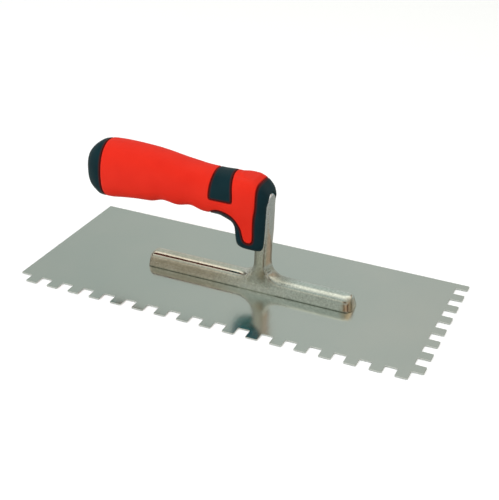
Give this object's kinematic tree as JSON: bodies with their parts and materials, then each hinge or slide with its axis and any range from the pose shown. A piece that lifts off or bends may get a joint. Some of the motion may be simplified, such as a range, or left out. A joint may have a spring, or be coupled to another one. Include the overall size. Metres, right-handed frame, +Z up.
{
  "type": "notched trowel",
  "caption": "Rectangular steel trowel blade, square-notched along one long and one short edge, with a cast mounting bar and a two-colour soft-grip handle.",
  "frame": {"origin": "centre of the blade's underside", "axes": "+X along the notched long edge towards the post, +Y towards the plain long edge, +Z up from the blade to the handle"},
  "size_m": [0.28, 0.128, 0.0865],
  "materials": {
    "stainless_sheet": "satin rolled stainless sheet",
    "cast_alloy": "tumbled, softly polished casting",
    "rivet_steel": "ground flush",
    "core_plastic": "moulded",
    "red_grip": "fine matt moulded texture",
    "black_soft": "soft satin elastomer",
    "zinc_steel": "bright zinc plate"
  },
  "bodies": {
    "root": {"blade": "stainless_sheet", "mounting_casting": "cast_alloy", "rivet_1": "rivet_steel", "rivet_2": "rivet_steel", "rivet_3": "rivet_steel", "rivet_4": "rivet_steel", "rivet_5": "rivet_steel", "rivet_6": "rivet_steel", "rivet_7": "rivet_steel", "rivet_8": "rivet_steel", "handle_core": "core_plastic", "grip": "red_grip", "butt_cap": "black_soft", "thumb_pad": "black_soft", "front_collar": "black_soft", "tang_screw": "zinc_steel", "tang_washer": "zinc_steel"}
  },
  "joints": []
}
